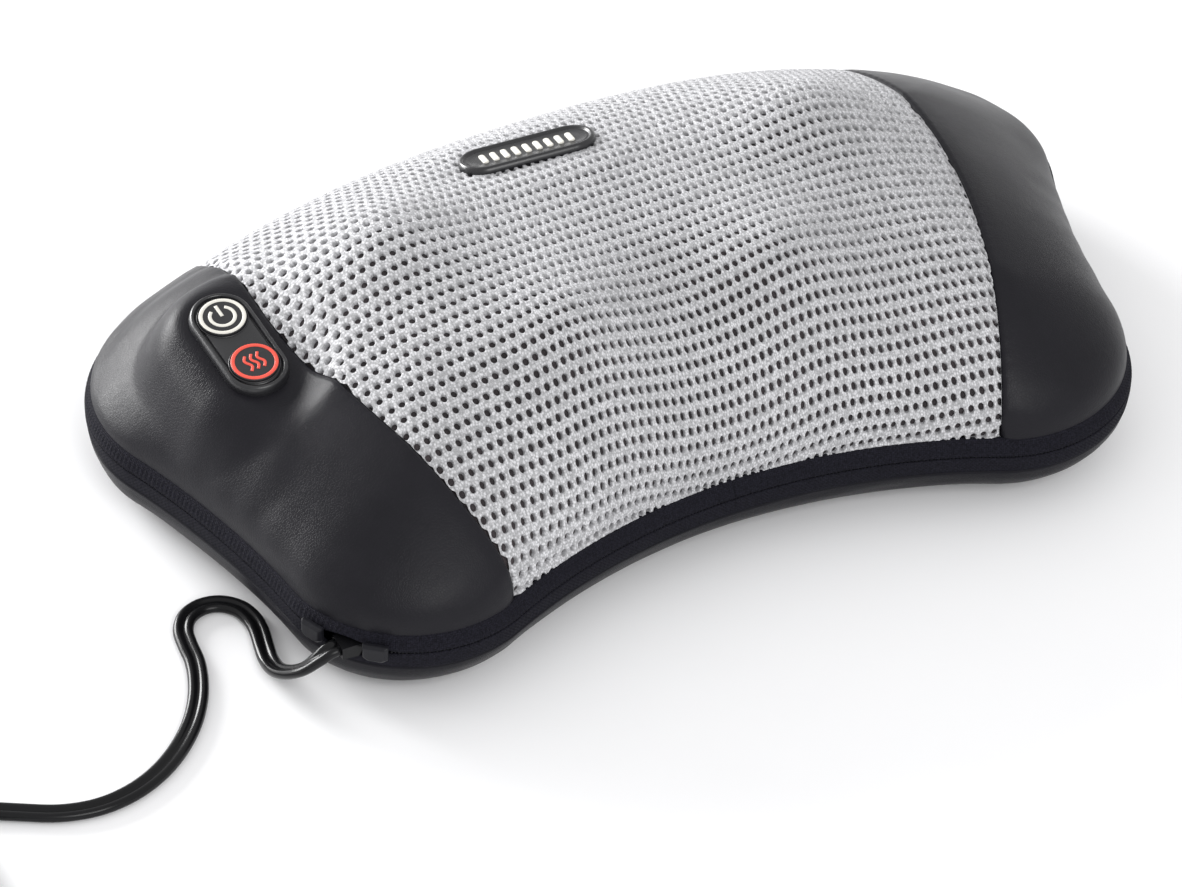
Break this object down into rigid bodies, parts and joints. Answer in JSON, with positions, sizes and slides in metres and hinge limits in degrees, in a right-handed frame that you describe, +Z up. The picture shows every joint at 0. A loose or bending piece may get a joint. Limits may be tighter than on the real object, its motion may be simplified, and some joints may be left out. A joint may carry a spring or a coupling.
{
  "type": "shiatsu neck massager",
  "caption": "Curved massage pillow with a zipped mesh and leatherette cover over counter-rotating heads of shiatsu nodes, with a button pad and a flat cord.",
  "frame": {"origin": "on the resting surface, under the middle of the pillow's plan box", "axes": "+X along the pillow's length towards the end without the buttons, +Y to the convex back edge, +Z up"},
  "size_m": [0.5534, 0.2412, 0.0854],
  "materials": {
    "mesh_fabric": "knitted spacer mesh",
    "leatherette": "matte soft-touch leatherette",
    "base_fabric": "woven",
    "zip_tape": "fine woven tape",
    "zip_nylon": "nylon coil",
    "black_plastic": "satin",
    "pad_plastic": "satin gloss",
    "button_white": "satin",
    "button_red": "satin",
    "steel": "plated",
    "foam": "open-cell foam",
    "casing_plastic": "moulded",
    "motor_steel": "zinc plated",
    "brass": "machined",
    "bronze": "sintered",
    "gear_nylon": "moulded nylon",
    "arm_plastic": "glass-filled",
    "node_rubber": "moulded",
    "board": "solder-masked",
    "lamp_glass": "clear red",
    "cord_rubber": "glossy moulded"
  },
  "bodies": {
    "pillow": {"mesh_panel": "mesh_fabric", "left_end_panel": "leatherette", "right_end_panel": "leatherette", "upper_zip_tape": "zip_tape", "lower_zip_tape": "zip_tape", "zip_coil": "zip_nylon", "lower_shell": "leatherette", "base_panel": "base_fabric", "badge": "black_plastic", "control_pad": "pad_plastic", "switch_domes": "steel", "foam_bed": "foam", "base_casing": "casing_plastic", "upper_casing": "casing_plastic", "casing_screws": "steel", "motor": "motor_steel", "motor_clamp": "steel", "shaft_bearing": "bronze", "gear_spindles": "steel", "head_spindles": "steel", "spindle_washers": "steel", "head_bushes": "bronze", "circuit_board": "board", "heat_lamps": "lamp_glass", "cord_grommet": "cord_rubber", "power_cord": "cord_rubber", "cord_coil": "cord_rubber", "dc_plug": "cord_rubber"},
    "rotor": {"motor_shaft": "steel", "worm": "brass"},
    "left_drive": {"left_drive_gear": "gear_nylon"},
    "right_drive": {"right_drive_gear": "gear_nylon"},
    "left_head": {"left_head_gear": "gear_nylon", "left_head_arm": "arm_plastic", "left_node_pins": "steel"},
    "right_head": {"right_head_gear": "gear_nylon", "right_head_arm": "arm_plastic", "right_node_pins": "steel"},
    "left_back_node": {"left_back_node": "node_rubber"},
    "left_front_node": {"left_front_node": "node_rubber"},
    "right_back_node": {"right_back_node": "node_rubber"},
    "right_front_node": {"right_front_node": "node_rubber"},
    "power_button": {"power_button": "button_white"},
    "heat_button": {"heat_button": "button_red"},
    "left_slider": {"left_zip_slider": "black_plastic"},
    "front_slider": {"front_zip_slider": "black_plastic"}
  },
  "joints": [
    {"name": "left_head_spin", "type": "hinge", "parent": "pillow", "child": "left_head", "pos_m": [-0.055, -0.006, 0.04], "axis": [0, 0, 1], "continuous": true},
    {"name": "right_head_spin", "type": "hinge", "parent": "pillow", "child": "right_head", "pos_m": [0.055, -0.006, 0.04], "axis": [0, 0, 1], "continuous": true},
    {"name": "left_drive_spin", "type": "hinge", "parent": "pillow", "child": "left_drive", "pos_m": [-0.02032, -0.02058, 0.03], "axis": [0, 0, 1], "continuous": true},
    {"name": "right_drive_spin", "type": "hinge", "parent": "pillow", "child": "right_drive", "pos_m": [0.02032, -0.02058, 0.03], "axis": [0, 0, 1], "continuous": true},
    {"name": "motor_spin", "type": "hinge", "parent": "pillow", "child": "rotor", "pos_m": [0, 0, 0.027], "axis": [0, 1, 0], "continuous": true},
    {"name": "left_back_node_spin", "type": "hinge", "parent": "left_head", "child": "left_back_node", "pos_m": [-0.0715, 0.02258, 0.058], "axis": [0, 0, 1], "continuous": true},
    {"name": "left_front_node_spin", "type": "hinge", "parent": "left_head", "child": "left_front_node", "pos_m": [-0.0385, -0.03458, 0.058], "axis": [0, 0, 1], "continuous": true},
    {"name": "right_back_node_spin", "type": "hinge", "parent": "right_head", "child": "right_back_node", "pos_m": [0.0715, 0.02258, 0.058], "axis": [0, 0, 1], "continuous": true},
    {"name": "right_front_node_spin", "type": "hinge", "parent": "right_head", "child": "right_front_node", "pos_m": [0.0385, -0.03458, 0.058], "axis": [0, 0, 1], "continuous": true},
    {"name": "power_button_press", "type": "slide", "parent": "pillow", "child": "power_button", "axis": [0.0553, 0.1086, -0.9925], "range_m": [0, 0.0008], "stiffness_N_per_m": 400},
    {"name": "heat_button_press", "type": "slide", "parent": "pillow", "child": "heat_button", "axis": [0.0553, 0.1086, -0.9925], "range_m": [0, 0.0008], "stiffness_N_per_m": 400},
    {"name": "left_slider_travel", "type": "slide", "parent": "pillow", "child": "left_slider", "axis": [-0.3907, 0.9205, 0], "range_m": [0, 0.006]},
    {"name": "front_slider_travel", "type": "slide", "parent": "pillow", "child": "front_slider", "axis": [0.7771, -0.6293, 0], "range_m": [0, 0.006]}
  ],
  "couplings": [
    {"joint": "right_head_spin", "follows": "left_head_spin", "ratio": -1},
    {"joint": "left_drive_spin", "follows": "left_head_spin", "ratio": -4},
    {"joint": "right_drive_spin", "follows": "left_head_spin", "ratio": 4},
    {"joint": "motor_spin", "follows": "left_head_spin", "ratio": 160}
  ]
}
